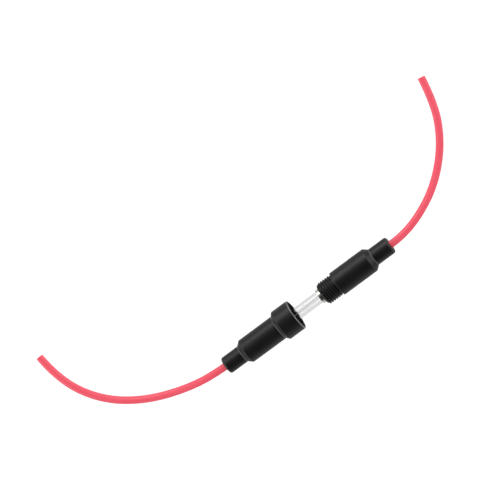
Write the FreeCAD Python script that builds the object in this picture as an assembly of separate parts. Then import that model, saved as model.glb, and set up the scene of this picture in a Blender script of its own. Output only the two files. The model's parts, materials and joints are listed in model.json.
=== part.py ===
import FreeCAD, Part
import math
import os
from FreeCAD import Vector

# Inline fuse holder for one 6 x 30 mm glass fuse, unscrewed, with the fuse lying between its halves.
# Lengths are millimetres and angles are degrees. The common axis of both halves runs along X.
# The spring-loaded threaded body is at +X and the screw cap at -X, and +Z is up.
# The origin is on the surface below the middle of the two moulded halves.

# Glass fuse
fuse_length = 30.0
fuse_cap_diameter = 6.0
fuse_cap_length = 6.3
fuse_cap_wall = 0.4
fuse_cap_edge_radius = 0.55
fuse_glass_fit = 0.1
fuse_glass_wall = 0.55
fuse_glass_end_gap = 0.3
fuse_glass_end_radius = 0.2
fuse_element_diameter = 0.22
fuse_element_lean = 1.9
fuse_element_end_gap = 0.15
fuse_solder_diameter = 3.4
fuse_solder_height = 1.1
fuse_solder_edge_radius = 0.9

# Bore for the fuse, the same in both halves
fuse_bore_clearance = 0.45
cavity_floor_past_barrel = 0.5

# Screw thread, right-handed
thread_pitch = 1.06
thread_depth = 0.5
thread_tip_flat = 0.24
thread_flank_angle = 30.0
thread_clearance = 0.15
thread_root_bite = 0.1

# Threaded body
thread_wall = 0.75
thread_length = 7.0
thread_relief_length = 0.55
mouth_rim_wall = 0.34
mouth_rim_radius = 0.12
mouth_chamfer_length = 0.8
barrel_step = 0.35
barrel_edge_radius = 0.2
body_barrel_length = 15.5
body_shoulder_length = 1.9
shoulder_edge_radius = 0.35

# Screw cap
collar_wall = 1.5
collar_length = 7.3
collar_taper_length = 1.1
collar_edge_radius = 0.3
collar_lip_wall = 0.75
collar_chamfer_length = 0.95
collar_thread_reach = 7.5
collar_guide_length = 0.6
cap_barrel_length = 15.6
cap_shoulder_length = 1.7

# Necks, the same on both halves
neck_wall = 1.9
neck_length = 8.1
neck_end_radius = 0.8
neck_mouth_chamfer = 0.25
neck_bore_clearance = 0.15

# Leads
insulation_diameter = 3.0
insulation_wall = 0.62
conductor_fit = 0.04
bare_conductor_length = 0.8
lead_floor_gap = 0.02
lead_arc_share = 0.45

# Contacts
contact_side_clearance = 0.25
contact_head_length = 1.2
contact_dish_depth = 0.3
contact_rim_width = 0.7
contact_edge_radius = 0.2
contact_boss_length = 0.8
contact_stem_length = 4.0
contact_stem_wall = 0.5
contact_stem_bore_depth = 3.4
contact_stem_fit = 0.05
contact_seat_gap = 0.1
solder_length = 0.55
solder_shoulder = 0.35

# Contact spring
spring_wire_diameter = 0.5
spring_turns = 8.0
spring_lead_clearance = 0.6
spring_boss_clearance = 0.3
spring_seat_gap = 0.05

# How the open holder lies, and how it closes
open_gap = 12.6
fuse_depth_in_body = 5.0
contact_rest_gap = 0.3
closed_collar_gap = 0.3
closed_fuse_gap = 0.2

# Sizes that follow from the ones above
fuse_cap_radius = fuse_cap_diameter / 2
cavity_radius = fuse_cap_radius + fuse_bore_clearance
male_root_radius = cavity_radius + thread_wall
male_tip_radius = male_root_radius + thread_depth
female_root_radius = male_tip_radius + thread_clearance
female_tip_radius = female_root_radius - thread_depth
barrel_radius = male_tip_radius + barrel_step
collar_radius = female_root_radius + collar_wall
lead_radius = insulation_diameter / 2
conductor_radius = lead_radius - insulation_wall - conductor_fit
neck_bore_radius = lead_radius + neck_bore_clearance
neck_radius = neck_bore_radius + neck_wall
spring_inner_radius = lead_radius + spring_lead_clearance
lead_floor_height = lead_radius + lead_floor_gap
body_cavity_depth = thread_length + body_barrel_length + cavity_floor_past_barrel
body_length = thread_length + body_barrel_length + body_shoulder_length + neck_length
cap_barrel_start = collar_length + collar_taper_length
cap_cavity_depth = cap_barrel_start + cap_barrel_length + cavity_floor_past_barrel
cap_length = cap_barrel_start + cap_barrel_length + cap_shoulder_length + neck_length
axis_height = collar_radius

# Stations along X with the holder lying open
cap_end_x = -(cap_length + open_gap + body_length) / 2
cap_mouth_x = cap_end_x + cap_length
body_mouth_x = cap_mouth_x + open_gap
body_end_x = body_mouth_x + body_length
fuse_body_end_x = body_mouth_x + fuse_depth_in_body
fuse_cap_end_x = fuse_body_end_x - fuse_length
body_contact_x = fuse_body_end_x + contact_rest_gap
cap_contact_x = cap_mouth_x - cap_cavity_depth + contact_seat_gap + contact_head_length
contact_length = contact_head_length + contact_boss_length + contact_stem_length

# Travel from lying open to screwed up
closing_travel = open_gap + thread_length - closed_collar_gap
cap_to_fuse_travel = fuse_cap_end_x - cap_contact_x - closed_fuse_gap
cap_turns = cap_to_fuse_travel / thread_pitch
spring_travel = closing_travel - cap_to_fuse_travel

# Route of each lead: X and Y of its corner points, with the height above the surface.
# The run into the first corner is the straight stretch that the bore of the neck holds.
body_lead_route = [
    (46.8, 0.0, axis_height),
    (58.7, 5.3, 3.0),
    (69.9, 11.1, lead_floor_height),
    (78.5, 21.0, lead_floor_height),
    (84.7, 33.1, lead_floor_height),
    (86.2, 44.0, lead_floor_height),
]
cap_lead_route = [
    (-46.6, 0.0, axis_height),
    (-60.5, 4.4, 2.9),
    (-73.9, 7.2, lead_floor_height),
    (-85.2, 15.9, lead_floor_height),
    (-93.1, 26.3, lead_floor_height),
    (-95.9, 39.1, lead_floor_height),
    (-97.1, 45.7, lead_floor_height),
]


def corner_arc(before, corner, after, radius):
    """Return where an arc leaves the run into a corner, its middle, and where it joins the next run."""
    back = Vector(before - corner).normalize()
    ahead = Vector(after - corner).normalize()
    half_angle = back.getAngle(ahead) / 2
    setback = radius / math.tan(half_angle)
    toward_centre = Vector(back + ahead).normalize()
    middle = corner + toward_centre * (radius / math.sin(half_angle) - radius)
    return corner + back * setback, middle, corner + ahead * setback


def profile_wire(corners):
    """Make a closed wire in the XZ plane from (x, r, corner radius), where r is the distance from the axis."""
    points = [Vector(x, 0, r) for x, r, _ in corners]
    edges = []
    starts = []
    ends = []
    middles = []
    for index, (_, _, radius) in enumerate(corners):
        corner = points[index]
        if radius > 0:
            start, middle, end = corner_arc(points[index - 1], corner, points[(index + 1) % len(points)], radius)
        else:
            start, middle, end = corner, None, corner
        starts.append(start)
        middles.append(middle)
        ends.append(end)
    for index, middle in enumerate(middles):
        if middle is not None:
            edges.append(Part.Arc(starts[index], middle, ends[index]).toShape())
        following = starts[(index + 1) % len(starts)]
        edges.append(Part.LineSegment(ends[index], following).toShape())
    return Part.Wire(edges)


def turned(corners):
    """Revolve a profile about the X axis and lift it to the holder's axis."""
    face = Part.Face(profile_wire(corners))
    solid = face.revolve(Vector(0, 0, 0), Vector(1, 0, 0), 360)
    if solid.Volume < 0:
        solid.reverse()
    solid.translate(Vector(0, 0, axis_height))
    return solid


def rod(x_from, x_to, radius):
    """Make a cylinder on the holder's axis between two stations."""
    start = Vector(min(x_from, x_to), 0, axis_height)
    return Part.makeCylinder(radius, abs(x_to - x_from), start, Vector(1, 0, 0))


def thread_ridge(root_radius, tip_radius, anchor_x, low_x, high_x):
    """Sweep one thread ridge along a helix that covers a stretch of X; its line passes anchor_x each turn."""
    turns_back = math.ceil((anchor_x - low_x) / thread_pitch) + 1
    start_x = anchor_x - turns_back * thread_pitch
    height = high_x - start_x
    outward = math.copysign(1.0, tip_radius - root_radius)
    half_tip = thread_tip_flat / 2
    half_foot = half_tip + (thread_depth + thread_root_bite) * math.tan(math.radians(thread_flank_angle))
    foot_radius = root_radius - outward * thread_root_bite
    corners = [
        Vector(foot_radius, 0, -half_foot),
        Vector(tip_radius, 0, -half_tip),
        Vector(tip_radius, 0, half_tip),
        Vector(foot_radius, 0, half_foot),
    ]
    section = Part.makePolygon(corners + corners[:1])
    helix = Part.Wire(Part.makeHelix(thread_pitch, height, root_radius).Edges)
    ridge = helix.makePipeShell([section], True, True)
    ridge.rotate(Vector(0, 0, 0), Vector(0, 1, 0), 90)
    ridge.translate(Vector(start_x, 0, axis_height))
    return ridge


def body_shell():
    """Make the threaded half: mouth, screw thread, barrel, shoulder and neck, bored from both ends."""
    barrel_x = body_mouth_x + thread_length
    shoulder_x = barrel_x + body_barrel_length
    neck_x = shoulder_x + body_shoulder_length
    floor_x = body_mouth_x + body_cavity_depth
    rim_radius = cavity_radius + mouth_rim_wall
    chamfer_x = body_mouth_x + mouth_chamfer_length
    root_chamfer_x = body_mouth_x + mouth_chamfer_length * thread_wall / (thread_wall + thread_depth)
    blank = turned([
        (body_mouth_x, cavity_radius, mouth_rim_radius),
        (body_mouth_x, rim_radius, mouth_rim_radius),
        (root_chamfer_x, male_root_radius, 0),
        (barrel_x, male_root_radius, 0),
        (barrel_x, barrel_radius, barrel_edge_radius),
        (shoulder_x, barrel_radius, shoulder_edge_radius),
        (neck_x, neck_radius, shoulder_edge_radius),
        (body_end_x, neck_radius, neck_end_radius),
        (body_end_x, neck_bore_radius + neck_mouth_chamfer, 0),
        (body_end_x - neck_mouth_chamfer, neck_bore_radius, 0),
        (floor_x, neck_bore_radius, 0),
        (floor_x, cavity_radius, 0),
    ])
    thread_end_x = barrel_x - thread_relief_length
    ridge = thread_ridge(male_root_radius, male_tip_radius, body_mouth_x, body_mouth_x, thread_end_x)
    chamfer_top_x = chamfer_x + (chamfer_x - root_chamfer_x)
    room = turned([
        (root_chamfer_x, cavity_radius, 0),
        (root_chamfer_x, male_root_radius, 0),
        (chamfer_top_x, male_tip_radius + thread_depth, 0),
        (barrel_x, male_tip_radius + thread_depth, 0),
        (barrel_x, cavity_radius, 0),
    ])
    return blank.fuse(ridge.common(room))


def cap_shell():
    """Make the screw cap: collar with an inside thread, taper, barrel, shoulder and neck."""
    collar_x = cap_mouth_x - collar_length
    barrel_x = cap_mouth_x - cap_barrel_start
    shoulder_x = barrel_x - cap_barrel_length
    neck_x = shoulder_x - cap_shoulder_length
    floor_x = cap_mouth_x - cap_cavity_depth
    lip_radius = collar_radius - collar_lip_wall
    chamfer_x = cap_mouth_x - collar_chamfer_length
    thread_end_x = cap_mouth_x - collar_thread_reach
    guide_x = thread_end_x - collar_guide_length
    blank = turned([
        (cap_mouth_x, lip_radius, 0),
        (cap_mouth_x, collar_radius, collar_edge_radius),
        (collar_x, collar_radius, collar_edge_radius),
        (barrel_x, barrel_radius, shoulder_edge_radius),
        (shoulder_x, barrel_radius, shoulder_edge_radius),
        (neck_x, neck_radius, shoulder_edge_radius),
        (cap_end_x, neck_radius, neck_end_radius),
        (cap_end_x, neck_bore_radius + neck_mouth_chamfer, 0),
        (cap_end_x + neck_mouth_chamfer, neck_bore_radius, 0),
        (floor_x, neck_bore_radius, 0),
        (floor_x, cavity_radius, 0),
        (guide_x, cavity_radius, 0),
        (thread_end_x, female_root_radius, 0),
        (chamfer_x, female_root_radius, 0),
    ])
    anchor_x = body_mouth_x + thread_pitch / 2 - closing_travel
    ridge = thread_ridge(female_root_radius, female_tip_radius, anchor_x, thread_end_x, chamfer_x)
    ridge.rotate(Vector(0, 0, axis_height), Vector(1, 0, 0), -360 * cap_turns)
    chamfer_slope = (lip_radius - female_root_radius) / collar_chamfer_length
    inner_chamfer_x = chamfer_x - (female_root_radius - cavity_radius) / chamfer_slope
    outside_thread = female_root_radius + thread_depth
    room = turned([
        (chamfer_x, outside_thread, 0),
        (chamfer_x, female_root_radius, 0),
        (inner_chamfer_x, cavity_radius, 0),
        (thread_end_x, cavity_radius, 0),
        (thread_end_x, outside_thread, 0),
    ])
    return blank.fuse(ridge.common(room))


def contact(face_x, direction, guides_spring):
    """Make a turned contact with its dished face at face_x and its stem running back along direction."""
    head_radius = cavity_radius - contact_side_clearance
    dish_radius = head_radius - contact_rim_width
    bore_radius = conductor_radius + contact_stem_fit
    stem_radius = bore_radius + contact_stem_wall
    head_x = face_x + direction * contact_head_length
    stem_x = face_x + direction * contact_length
    bore_x = stem_x - direction * contact_stem_bore_depth
    dish_x = face_x + direction * contact_dish_depth
    head = [
        (dish_x, 0, 0),
        (dish_x, dish_radius - contact_dish_depth, 0),
        (face_x, dish_radius, 0),
        (face_x, head_radius, contact_edge_radius),
        (head_x, head_radius, contact_edge_radius),
    ]
    boss = []
    stem_from_x = head_x
    if guides_spring:
        boss_radius = spring_inner_radius - spring_boss_clearance
        stem_from_x = head_x + direction * contact_boss_length
        boss = [
            (head_x, boss_radius, 0),
            (stem_from_x, boss_radius, 0),
        ]
    stem = [
        (stem_from_x, stem_radius, 0),
        (stem_x, stem_radius, 0),
        (stem_x, bore_radius, 0),
        (bore_x, bore_radius, 0),
        (bore_x, 0, 0),
    ]
    return turned(head + boss + stem)


def solder_collar(stem_x, direction):
    """Make the small cone of solder that closes a contact's stem around its conductor."""
    foot_radius = conductor_radius + contact_stem_fit + contact_stem_wall / 2
    tip_radius = conductor_radius + contact_stem_fit
    shoulder_x = stem_x + direction * solder_shoulder * solder_length
    tip_x = stem_x + direction * solder_length
    return turned([
        (stem_x, conductor_radius, 0),
        (stem_x, foot_radius, 0),
        (shoulder_x, (foot_radius + tip_radius) / 2, 0),
        (tip_x, tip_radius, 0),
        (tip_x, conductor_radius, 0),
    ])


def contact_spring():
    """Make the coil spring between the back of the body's contact and the floor of its cavity."""
    low_x = body_contact_x + contact_head_length + spring_seat_gap
    high_x = body_mouth_x + body_cavity_depth - spring_seat_gap
    wire_radius = spring_wire_diameter / 2
    coil_radius = spring_inner_radius + wire_radius
    length = high_x - low_x
    pitch = length / spring_turns
    helix = Part.Wire(Part.makeHelix(pitch, length, coil_radius).Edges)
    section = Part.Wire(Part.makeCircle(wire_radius, Vector(coil_radius, 0, 0), Vector(0, 1, 0)))
    coil = helix.makePipeShell([section], True, True)
    coil.rotate(Vector(0, 0, 0), Vector(0, 1, 0), 90)
    coil.translate(Vector(low_x, 0, axis_height))
    ground_ends = rod(low_x, high_x, coil_radius + spring_wire_diameter)
    return coil.common(ground_ends)


def lead_path(points, start):
    """Join straight runs by arcs as large as the runs allow; the first run is drawn from start."""
    edges = []
    radii = []
    last = start
    for index in range(1, len(points) - 1):
        before, corner, after = points[index - 1], points[index], points[index + 1]
        shorter = min((corner - before).Length, (after - corner).Length)
        half_turn = (corner - before).getAngle(after - corner) / 2
        radius = lead_arc_share * shorter / math.tan(half_turn)
        arc_start, middle, arc_end = corner_arc(before, corner, after, radius)
        edges.append(Part.LineSegment(last, arc_start).toShape())
        edges.append(Part.Arc(arc_start, middle, arc_end).toShape())
        radii.append(radius)
        last = arc_end
    edges.append(Part.LineSegment(last, points[-1]).toShape())
    wire = Part.Wire(edges)
    print("lead radii", [round(radius, 1) for radius in radii], "length", round(wire.Length, 2))
    return wire


def swept(path, radius):
    """Sweep a round section along a path."""
    start = path.Edges[0].valueAt(path.Edges[0].FirstParameter)
    tangent = path.Edges[0].tangentAt(path.Edges[0].FirstParameter)
    section = Part.Wire(Part.makeCircle(radius, start, tangent))
    solid = path.makePipeShell([section], True, False)
    expected = math.pi * radius * radius * path.Length
    print("swept volume", round(solid.Volume, 3), "of", round(expected, 3))
    return solid


def lead(stem_x, direction, route):
    """Make a lead's insulation and its conductor, from the contact's stem out along the route."""
    conductor_x = stem_x - direction * (contact_stem_bore_depth - contact_stem_fit)
    insulation_x = stem_x + direction * bare_conductor_length
    conductor_start = Vector(conductor_x, 0, axis_height)
    insulation_start = Vector(insulation_x, 0, axis_height)
    points = [insulation_start] + [Vector(*point) for point in route]
    conductor = swept(lead_path(points, conductor_start), conductor_radius)
    insulation_path = lead_path(points, insulation_start)
    outside = swept(insulation_path, lead_radius)
    inside = swept(insulation_path, lead_radius - insulation_wall)
    return outside.cut(inside), conductor


def fuse_cap(end_x, direction):
    """Make one drawn end cap of the fuse; direction points from its closed end along the fuse."""
    inner_radius = fuse_cap_radius - fuse_cap_wall
    inner_x = end_x + direction * fuse_cap_wall
    rim_x = end_x + direction * fuse_cap_length
    return turned([
        (end_x, 0, 0),
        (end_x, fuse_cap_radius, fuse_cap_edge_radius),
        (rim_x, fuse_cap_radius, 0),
        (rim_x, inner_radius, 0),
        (inner_x, inner_radius, 0),
        (inner_x, 0, 0),
    ])


def fuse_tube():
    """Make the fuse's glass tube, fire-polished at both ends."""
    outer_radius = fuse_cap_radius - fuse_cap_wall - fuse_glass_fit
    inner_radius = outer_radius - fuse_glass_wall
    low_x = fuse_cap_end_x + fuse_cap_wall + fuse_glass_end_gap
    high_x = fuse_body_end_x - fuse_cap_wall - fuse_glass_end_gap
    return turned([
        (low_x, inner_radius, fuse_glass_end_radius),
        (low_x, outer_radius, fuse_glass_end_radius),
        (high_x, outer_radius, fuse_glass_end_radius),
        (high_x, inner_radius, fuse_glass_end_radius),
    ])


def fuse_element():
    """Make the fuse wire, which leans across the tube from one cap's solder to the other's."""
    low = Vector(fuse_cap_end_x + fuse_cap_wall + fuse_element_end_gap, -fuse_element_lean / 2, axis_height)
    high = Vector(fuse_body_end_x - fuse_cap_wall - fuse_element_end_gap, fuse_element_lean / 2, axis_height)
    along = high - low
    return Part.makeCylinder(fuse_element_diameter / 2, along.Length, low, along)


def fuse_solder(end_x, direction, element):
    """Make the mound of solder inside an end cap, with the fuse wire's end in it."""
    floor_x = end_x + direction * fuse_cap_wall
    top_x = floor_x + direction * fuse_solder_height
    radius = fuse_solder_diameter / 2
    mound = turned([
        (floor_x, 0, 0),
        (floor_x, radius, 0),
        (top_x, radius, fuse_solder_edge_radius),
        (top_x, 0, 0),
    ])
    return mound.cut(element)


def build():
    """Build every piece of the holder and give them by name."""
    element = fuse_element()
    body_insulation, body_conductor = lead(body_contact_x + contact_length, 1, body_lead_route)
    cap_insulation, cap_conductor = lead(cap_contact_x - contact_length, -1, cap_lead_route)
    return {
        "body_shell": body_shell(),
        "body_contact": contact(body_contact_x, 1, True),
        "body_solder": solder_collar(body_contact_x + contact_length, 1),
        "contact_spring": contact_spring(),
        "body_lead_insulation": body_insulation,
        "body_lead_conductor": body_conductor,
        "cap_shell": cap_shell(),
        "cap_contact": contact(cap_contact_x, -1, False),
        "cap_solder": solder_collar(cap_contact_x - contact_length, -1),
        "cap_lead_insulation": cap_insulation,
        "cap_lead_conductor": cap_conductor,
        "fuse_glass": fuse_tube(),
        "fuse_body_end_cap": fuse_cap(fuse_body_end_x, -1),
        "fuse_far_end_cap": fuse_cap(fuse_cap_end_x, 1),
        "fuse_element": element,
        "fuse_body_end_solder": fuse_solder(fuse_body_end_x, -1, element),
        "fuse_far_end_solder": fuse_solder(fuse_cap_end_x, 1, element),
    }


os.makedirs("parts", exist_ok=True)
for name, shape in build().items():
    shape.exportStep("parts/" + name + ".step")
    print(name, "valid", shape.isValid(), "solids", len(shape.Solids), "volume", round(shape.Volume, 3))
print("turns to close", round(cap_turns, 4), "cap to fuse", round(cap_to_fuse_travel, 3))
print("spring travel", round(spring_travel, 3), "closing travel", round(closing_travel, 3))
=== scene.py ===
"""An inline fuse holder lying unscrewed, with a glass fuse between its halves and a red lead out of each.

The frame gives every construction piece in metres, with the common axis of both halves along X and +Z up.
This script dresses those pieces, and replaces the ones whose surface needs a finer mesh.
"""

import json
import logging
import math
from abc import ABC, abstractmethod
from dataclasses import asdict, dataclass
from enum import Enum
from types import SimpleNamespace
from typing import Callable, ClassVar, Sequence

import bmesh
import bpy
import numpy as np
from bpy.types import ID, Material, Mesh, Node, NodeSocket, NodeTree, Object
from mathutils import Matrix, Vector


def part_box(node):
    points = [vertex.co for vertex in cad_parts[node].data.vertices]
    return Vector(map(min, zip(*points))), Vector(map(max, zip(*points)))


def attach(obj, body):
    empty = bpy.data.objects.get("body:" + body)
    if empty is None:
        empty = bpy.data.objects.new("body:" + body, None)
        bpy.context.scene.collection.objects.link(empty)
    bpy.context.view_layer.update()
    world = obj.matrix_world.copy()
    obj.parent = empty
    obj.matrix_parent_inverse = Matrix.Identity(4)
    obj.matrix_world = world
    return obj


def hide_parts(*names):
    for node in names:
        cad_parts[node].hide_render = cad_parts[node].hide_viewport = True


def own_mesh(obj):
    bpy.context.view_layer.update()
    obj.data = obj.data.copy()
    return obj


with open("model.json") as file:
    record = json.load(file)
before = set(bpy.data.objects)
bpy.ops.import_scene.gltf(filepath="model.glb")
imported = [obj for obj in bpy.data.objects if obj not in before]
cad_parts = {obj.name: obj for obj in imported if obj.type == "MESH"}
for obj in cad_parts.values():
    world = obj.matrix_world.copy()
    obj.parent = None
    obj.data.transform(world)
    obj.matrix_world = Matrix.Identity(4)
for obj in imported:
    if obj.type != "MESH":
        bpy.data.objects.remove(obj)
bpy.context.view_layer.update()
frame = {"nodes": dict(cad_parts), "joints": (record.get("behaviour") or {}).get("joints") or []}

MM = 0.001
IMAGE_SIZE = 480

# How high the common axis of both halves lies, with the cap's collar on the surface
AXIS_HEIGHT = 6.35 * MM

# How finely round pieces are divided
TURNED_SEGMENTS = 144
FUSE_SEGMENTS = 96
LEAD_SEGMENTS = 40
ARC_STEP = math.radians(13)
SUPPORT_DISTANCE = 0.09 * MM
MERGE_DISTANCE = 0.002 * MM
SHARP_ANGLE = math.radians(38)

# Where the values of a noise texture mostly lie
NOISE_SPAN = (0.3, 0.7)

# How much painted highlight the black moulding gets: full on the mouth's rim, less in inside corners, faint
# along outside edges; and how far a face leans inwards to count as bore
PAINTED_HIGHLIGHT = "painted_highlight"
RIM_HIGHLIGHT = 1.0
INSIDE_CORNER_HIGHLIGHT = 0.45
OUTSIDE_EDGE_HIGHLIGHT = 0.10
INWARD_LEAN = 0.2

Colour = tuple[float, float, float]
Place = tuple[float, float, float]
Span = tuple[float, float]
Outline = list[tuple[float, float, float]]
Inputs = dict[str | int, object]
RingMaker = Callable[[float, float, np.ndarray], np.ndarray]

log = logging.getLogger("fuse_holder")


class Body(Enum):
    """The moving bodies that a piece can ride on."""

    THREADED_BODY = "threaded_body"
    SPRUNG_CONTACT = "sprung_contact"
    FUSE = "fuse"
    CAP_CONTACT = "cap_contact_set"
    SCREW_CAP = "screw_cap"


class Slot(Enum):
    """The record's material slots."""

    BLACK_MOULDING = "black_moulding"
    RED_INSULATION = "red_insulation"
    COPPER = "copper"
    PLATED_CONTACT = "plated_contact"
    NICKEL_PLATE = "nickel_plate"
    SOLDER = "solder"
    SPRING_STEEL = "spring_steel"
    CLEAR_GLASS = "clear_glass"
    FUSE_WIRE = "fuse_wire"


class Side(Enum):
    """Which way a piece points along the holder's axis."""

    TOWARDS_BODY = 1
    TOWARDS_CAP = -1


class Signal:
    """What comes out of one node socket, which formulas can be written with."""

    def __init__(self, sheet: "NodeSheet", socket: NodeSocket) -> None:
        """Keep the socket and the sheet that it is on."""
        self.sheet = sheet
        self.socket = socket

    def math(self, operation: str, *others: "Signal | float") -> "Signal":
        """Give the result of a math node that takes this value first."""
        return self.sheet.math(operation, self, *others)

    def __add__(self, other: "Signal | float") -> "Signal":
        """Give the sum."""
        return self.math("ADD", other)

    def __sub__(self, other: "Signal | float") -> "Signal":
        """Give the difference."""
        return self.math("SUBTRACT", other)

    def __rsub__(self, other: float) -> "Signal":
        """Give a number less this value."""
        return self.sheet.math("SUBTRACT", other, self)

    def __mul__(self, other: "Signal | float") -> "Signal":
        """Give the product."""
        return self.math("MULTIPLY", other)

    def __truediv__(self, other: "Signal | float") -> "Signal":
        """Give the quotient."""
        return self.math("DIVIDE", other)

    def remap(self, before: Sequence[object], after: Span, smooth: bool = False) -> "Signal":
        """Map the value from one range to another, clamped.

        Args:
            before: The range's two ends on the way in, as numbers or signals.
            after: The range's two ends on the way out.
            smooth: Whether the change eases in and out.

        Returns:
            The mapped value.
        """
        names = ("Value", "From Min", "From Max", "To Min", "To Max")
        easing = "SMOOTHSTEP" if smooth else "LINEAR"
        inputs = dict(zip(names, (self, *before, *after)))
        return self.sheet.out("ShaderNodeMapRange", inputs, "Result", interpolation_type=easing)


class NodeSheet:
    """Adds nodes to one tree and links them."""

    def __init__(self, tree: NodeTree) -> None:
        """Start on a tree, emptied of what it holds."""
        self.tree = tree
        tree.nodes.clear()

    def feed(self, socket: NodeSocket, value: object) -> None:
        """Link a socket to a signal, or set its constant.

        Args:
            socket: The input socket.
            value: The signal or the constant.
        """
        if isinstance(value, Signal):
            self.tree.links.new(value.socket, socket)
        else:
            socket.default_value = value

    def add(self, kind: str, inputs: Inputs | None = None, **settings: object) -> Node:
        """Add one node.

        Args:
            kind: The node's type name.
            inputs: Signals or constants for its inputs, by name or number.
            **settings: Properties set on the node.

        Returns:
            The new node.
        """
        node = self.tree.nodes.new(kind)
        for name, value in settings.items():
            setattr(node, name, value)
        for key, value in (inputs or {}).items():
            self.feed(node.inputs[key], value)
        return node

    def out(
        self, kind: str, inputs: Inputs | None = None, output: str | int = 0, **settings: object
    ) -> Signal:
        """Add one node and give one of its outputs, by name or number."""
        return Signal(self, self.add(kind, inputs, **settings).outputs[output])

    def math(self, operation: str, *values: Signal | float) -> Signal:
        """Give the result of a math node on the values."""
        return self.out("ShaderNodeMath", dict(enumerate(values)), operation=operation)

    def rays(self) -> SimpleNamespace:
        """Tell the kinds of light ray apart.

        Returns:
            A signal for each of camera, refracted and mirrored, which is 1 for rays of that kind.
            A ray that has been through glass counts as refracted and not as mirrored.
        """
        path = self.add("ShaderNodeLightPath").outputs
        camera, glossy, refracted = (
            Signal(self, path[name]) for name in ("Is Camera Ray", "Is Glossy Ray", "Is Transmission Ray")
        )
        mirrored = glossy.math("MAXIMUM", refracted) - refracted
        return SimpleNamespace(camera=camera, refracted=refracted, mirrored=mirrored)


class FinishSheet(NodeSheet):
    """The node tree of one surface finish, around a Principled shader."""

    def __init__(self, name: str) -> None:
        """Start a material with a Principled shader on its output.

        Args:
            name: The material's name.
        """
        self.material = bpy.data.materials.new(name)
        self.material.use_nodes = True
        super().__init__(self.material.node_tree)
        self.shader = self.add("ShaderNodeBsdfPrincipled")
        self.add("ShaderNodeOutputMaterial", {"Surface": Signal(self, self.shader.outputs[0])})

    def set(self, **inputs: object) -> None:
        """Set shader inputs by name, with _ in place of a space."""
        for name, value in inputs.items():
            self.feed(self.shader.inputs[name.replace("_", " ")], value)

    def scaled(self, scale: Sequence[float], source: str = "Object") -> Signal:
        """Give the piece's Object coordinates, or its UV map, times a scale along each axis."""
        place = self.out("ShaderNodeTexCoord", output=source)
        return self.out("ShaderNodeVectorMath", {0: place, 1: scale}, operation="MULTIPLY")

    def noise(
        self,
        cell: float | Sequence[float],
        detail: float = 2.0,
        roughness: float = 0.5,
        source: str = "Object",
    ) -> Signal:
        """Give noise with cells of a given size.

        Args:
            cell: A cell's size, the same each way or one along each axis.
            detail: How many finer octaves it has.
            roughness: How strong the finer octaves are.
            source: The coordinates that it follows, Object or UV.

        Returns:
            The noise, which mostly lies within NOISE_SPAN.
        """
        where = self.scaled((1 / np.broadcast_to(cell, 3)).tolist(), source)
        inputs = {"Vector": where, "Scale": 1.0, "Detail": detail, "Roughness": roughness}
        return self.out("ShaderNodeTexNoise", inputs, "Fac")

    def blend(self, factor: Signal, low: Colour | Signal, high: Colour | Signal) -> Signal:
        """Mix two colours.

        Args:
            factor: The share of the second colour.
            low: The first colour.
            high: The second colour.

        Returns:
            The mixed colour.
        """
        node = self.add("ShaderNodeMix", {"Factor": factor}, data_type="RGBA")
        ends = [socket for socket in node.inputs if socket.type == "RGBA"]
        for socket, colour in zip(ends, (low, high)):
            self.feed(socket, colour if isinstance(colour, Signal) else (*colour, 1))
        return Signal(self, next(socket for socket in node.outputs if socket.type == "RGBA"))

    def relief(self, *layers: tuple[Signal, float]) -> None:
        """Stack bumps on the shader's normal.

        Args:
            *layers: Each layer's height, and its depth in metres from lowest to highest.
        """
        normal = {}
        for height, depth in layers:
            inputs = {"Strength": 1.0, "Distance": depth, "Height": height, **normal}
            normal = {"Normal": self.out("ShaderNodeBump", inputs)}
        self.set(**normal)


@dataclass(frozen=True)
class BlackMoulding:
    """Satin black thermoplastic with fine grain, with a painted highlight on the mouth's rim and in the
    inside corners, and a faint one along outside edges.
    """

    name: str = "satin_black_moulding"
    roughness: Span = (0.36, 0.46)
    ior: float = 1.42
    dark: Colour = (0.0036, 0.0036, 0.0038)
    light: Colour = (0.0060, 0.0060, 0.0062)
    pale: Colour = (0.25, 0.25, 0.252)
    highlight_span: Span = (0.35, 0.65)
    highlight_share: Span = (0.45, 1.0)
    mottle: float = 5.0 * MM
    sink: float = 3.5 * MM
    sink_depth: float = 0.012 * MM
    grain: float = 0.16 * MM
    grain_depth: float = 0.0035 * MM

    def material(self) -> Material:
        """Build the finish.

        Returns:
            The new material.
        """
        sheet = FinishSheet(self.name)
        mottle = sheet.noise(self.mottle, detail=4.0, roughness=0.6)
        # Painted highlight from the outline's attribute: full on the mouth's rim, less in inside corners,
        # faint along outside edges, broken up by the mottle
        corner = sheet.out("ShaderNodeAttribute", output="Fac", attribute_name=PAINTED_HIGHLIGHT)
        highlight_amount = corner * mottle.remap(self.highlight_span, self.highlight_share)
        sheet.set(
            Base_Color=sheet.blend(highlight_amount, sheet.blend(mottle, self.dark, self.light), self.pale),
            Roughness=mottle.remap(NOISE_SPAN, self.roughness),
            IOR=self.ior,
        )
        sheet.relief(
            (sheet.noise(self.sink, detail=1.0), self.sink_depth),
            (sheet.noise(self.grain, detail=3.0), self.grain_depth),
        )
        return sheet.material


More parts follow.
